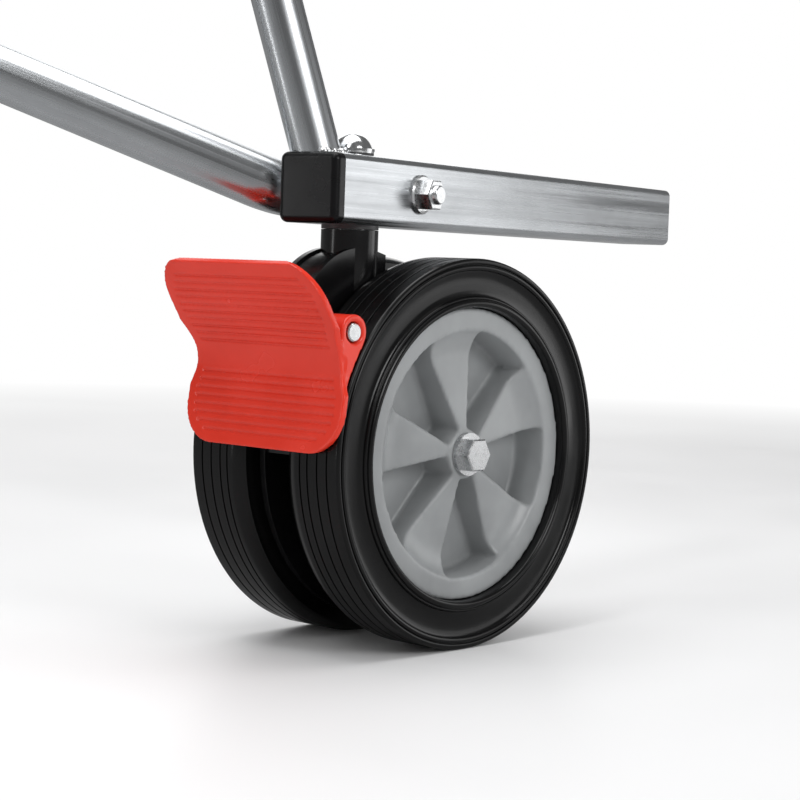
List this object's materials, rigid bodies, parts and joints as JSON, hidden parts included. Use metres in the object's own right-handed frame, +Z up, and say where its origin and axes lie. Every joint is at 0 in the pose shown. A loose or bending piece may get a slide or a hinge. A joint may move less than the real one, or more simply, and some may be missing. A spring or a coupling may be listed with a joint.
{
  "type": "braked twin-wheel swivel castor on a tube frame corner",
  "caption": "Braked twin-wheel swivel castor under the corner of a galvanised tube undercarriage, with rail end plug, upright post and diagonal stay.",
  "frame": {"origin": "centre of the square rail's open end, on the rail's axis", "axes": "+X out of the rail's open end, along the rail; +Z up, away from the floor; +Y towards the side the stay is on"},
  "size_m": [0.4651, 0.2567, 0.3681],
  "materials": {
    "galvanised_tube": "galvanised, fine scratches",
    "zinc_hardware": "bright zinc plate",
    "cap_steel": "bright plated",
    "black_plastic": "satin moulded",
    "housing_plastic": "satin to gloss moulded",
    "tyre_rubber": "smooth moulded",
    "hub_plastic": "fine satin moulded",
    "pedal_plastic": "glossy moulded",
    "bearing_plastic": "moulded acetal"
  },
  "bodies": {
    "frame": {"rail": "galvanised_tube", "rail_plug": "black_plastic", "post": "galvanised_tube", "stay": "galvanised_tube", "stay_bolt": "zinc_hardware", "stay_nut": "zinc_hardware", "stay_washer": "zinc_hardware", "crush_tube": "zinc_hardware", "bearing_tube": "galvanised_tube", "upper_bush": "bearing_plastic", "lower_bush": "bearing_plastic"},
    "castor": {"castor_housing": "housing_plastic", "castor_stem": "zinc_hardware", "stem_ring": "zinc_hardware", "stem_cap": "cap_steel", "axle_bolt": "zinc_hardware", "axle_nut": "zinc_hardware", "axle_washers": "zinc_hardware", "wheel_sleeves": "zinc_hardware", "brake_pin": "zinc_hardware"},
    "wheel_near": {"tyre_near": "tyre_rubber", "hub_near": "hub_plastic", "hub_bushes_near": "bearing_plastic"},
    "wheel_far": {"tyre_far": "tyre_rubber", "hub_far": "hub_plastic", "hub_bushes_far": "bearing_plastic"},
    "pedal": {"brake_pedal": "pedal_plastic"}
  },
  "joints": [
    {"name": "swivel", "type": "hinge", "parent": "frame", "child": "castor", "pos_m": [-0.345, 0, 0], "axis": [0, 0, 1], "continuous": true},
    {"name": "wheel_near_spin", "type": "hinge", "parent": "castor", "child": "wheel_near", "pos_m": [-0.30265, -0.00747, -0.132], "axis": [0.1736, 0.9848, 0], "continuous": true},
    {"name": "wheel_far_spin", "type": "hinge", "parent": "castor", "child": "wheel_far", "pos_m": [-0.30265, -0.00747, -0.132], "axis": [0.1736, 0.9848, 0], "continuous": true},
    {"name": "brake", "type": "hinge", "parent": "castor", "child": "pedal", "pos_m": [-0.39193, 0.00827, -0.06969], "axis": [0.1736, 0.9848, 0], "range_deg": [0, 20]}
  ]
}
